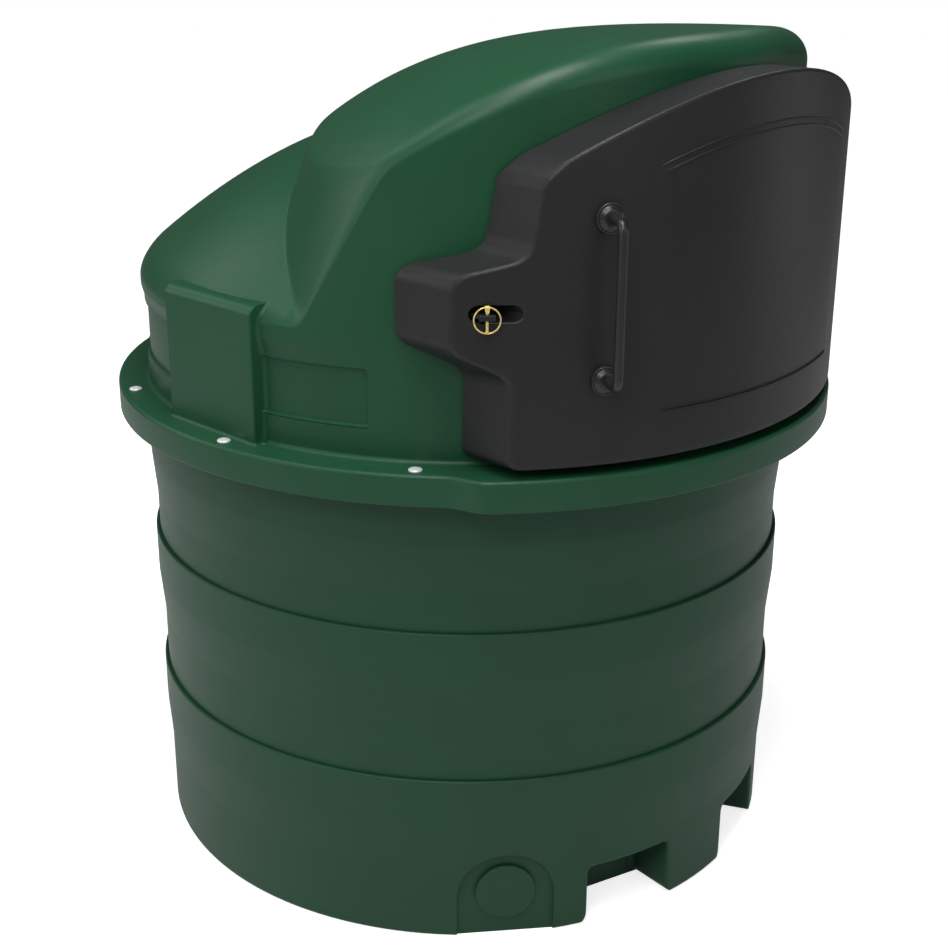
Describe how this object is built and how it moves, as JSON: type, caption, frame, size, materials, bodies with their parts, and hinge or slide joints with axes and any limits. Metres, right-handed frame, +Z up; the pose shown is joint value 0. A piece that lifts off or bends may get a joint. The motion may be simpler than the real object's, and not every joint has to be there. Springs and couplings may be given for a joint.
{
  "type": "vertical storage tank",
  "caption": "Round banded plastic fuel storage tank with a bolted flange, a domed hood and a raised cabinet with a hinged door.",
  "frame": {"origin": "centre of the tank's base at ground level", "axes": "+Z up along the tank's axis, the cabinet door faces -Y, +X to the right seen from in front"},
  "size_m": [1.5318, 1.563, 1.7889],
  "materials": {
    "tank_green": "satin moulded polyethylene",
    "hood_green": "satin moulded polyethylene",
    "door_black": "satin moulded polyethylene",
    "handle_black": "satin",
    "plated_steel": "yellow zinc plated steel",
    "hinge_steel": "black powder coat"
  },
  "bodies": {
    "tank": {"base_plate": "tank_green", "front_pier": "tank_green", "rear_pier": "tank_green", "left_foot": "tank_green", "right_foot": "tank_green", "left_recess": "tank_green", "right_recess": "tank_green", "front_left_pocket": "tank_green", "front_right_pocket": "tank_green", "rear_left_pocket": "tank_green", "rear_right_pocket": "tank_green", "left_disc": "tank_green", "right_disc": "tank_green", "lower_band": "tank_green", "middle_band": "tank_green", "upper_band": "tank_green", "tank_flange": "tank_green", "tank_top": "tank_green", "hood_flange": "hood_green", "hood_dome": "hood_green", "cabinet_roof": "hood_green", "hood_wall_1": "hood_green", "hood_wall_2": "hood_green", "hood_wall_3": "hood_green", "hood_wall_4": "hood_green", "hood_wall_5": "hood_green", "hood_wall_6": "hood_green", "left_doorway_wall": "hood_green", "right_doorway_wall": "hood_green", "doorway_sill": "hood_green", "doorway_lintel": "hood_green", "left_pad": "hood_green", "right_pad": "hood_green", "lower_hinge_bracket": "hinge_steel", "upper_hinge_bracket": "hinge_steel"},
    "door": {"door_shell": "door_black", "door_liner": "door_black", "lower_handle_boss": "handle_black", "upper_handle_boss": "handle_black", "door_handle": "handle_black", "latch_tongue": "handle_black", "latch_pin": "plated_steel", "latch_ring": "plated_steel", "lower_hinge_strap": "hinge_steel", "upper_hinge_strap": "hinge_steel"}
  },
  "joints": [
    {"name": "door_hinge", "type": "hinge", "parent": "tank", "child": "door", "pos_m": [0.537, -0.497, 1.23], "axis": [0, 0, 1], "range_deg": [0, 110]}
  ]
}
